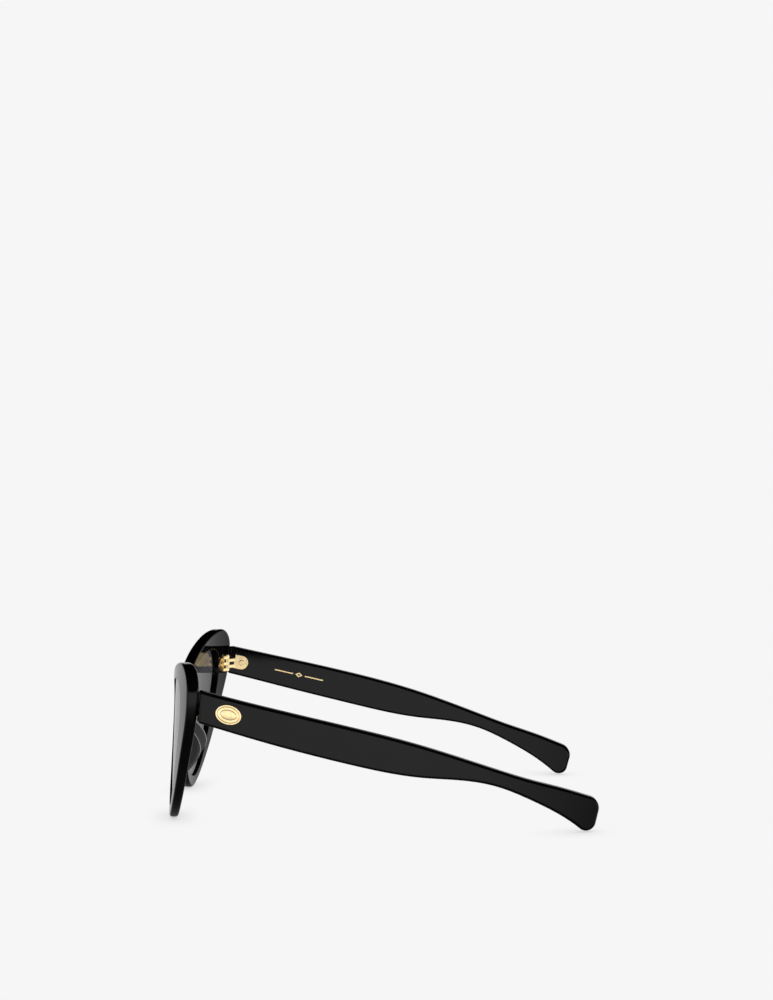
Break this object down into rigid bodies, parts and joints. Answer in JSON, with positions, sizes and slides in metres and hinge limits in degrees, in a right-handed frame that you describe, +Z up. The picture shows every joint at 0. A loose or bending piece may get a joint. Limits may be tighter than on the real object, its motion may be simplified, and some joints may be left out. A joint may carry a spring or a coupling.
{
  "type": "cat eye sunglasses",
  "caption": "Cat eye sunglasses in black acetate with upswept tips, tinted lenses, glued nose pads and wire-cored temples that fold inwards on five-barrel hinges.",
  "frame": {"origin": "on the surface it stands on, under the middle of the open sunglasses' bounding box", "axes": "+Z up, -Y the way the lenses face, +Y back along the temples, +X the wearer's left"},
  "size_m": [0.1488, 0.1521, 0.0581],
  "materials": {
    "front_acetate": "polished black acetate",
    "temple_acetate": "polished black acetate",
    "tinted_lens": "grey tinted, hard coated",
    "hinge_metal": "gold plated, satin",
    "fastener_metal": "gold plated",
    "core_wire": "drawn wire, hidden in the temple",
    "emblem_gold": "gold plated, polished border"
  },
  "bodies": {
    "front": {"front_frame": "front_acetate", "lens_left": "tinted_lens", "lens_right": "tinted_lens", "nose_pad_left": "front_acetate", "nose_pad_right": "front_acetate", "front_hinge_leaf_left": "hinge_metal", "front_hinge_leaf_right": "hinge_metal", "front_leaf_rivet_left": "fastener_metal", "front_leaf_rivet_right": "fastener_metal", "hinge_screw_left": "fastener_metal", "hinge_screw_right": "fastener_metal"},
    "temple_left": {"temple_left": "temple_acetate", "temple_hinge_leaf_left": "hinge_metal", "temple_leaf_rivet_left": "fastener_metal", "temple_core_left": "core_wire", "emblem_left": "emblem_gold"},
    "temple_right": {"temple_right": "temple_acetate", "temple_hinge_leaf_right": "hinge_metal", "temple_leaf_rivet_right": "fastener_metal", "temple_core_right": "core_wire", "emblem_right": "emblem_gold"}
  },
  "joints": [
    {"name": "left_hinge", "type": "hinge", "parent": "front", "child": "temple_left", "pos_m": [0.065, -0.06174, 0.04365], "axis": [0, 0, 1], "range_deg": [0, 88]},
    {"name": "right_hinge", "type": "hinge", "parent": "front", "child": "temple_right", "pos_m": [-0.065, -0.06174, 0.04365], "axis": [0, 0, -1], "range_deg": [0, 83]}
  ]
}
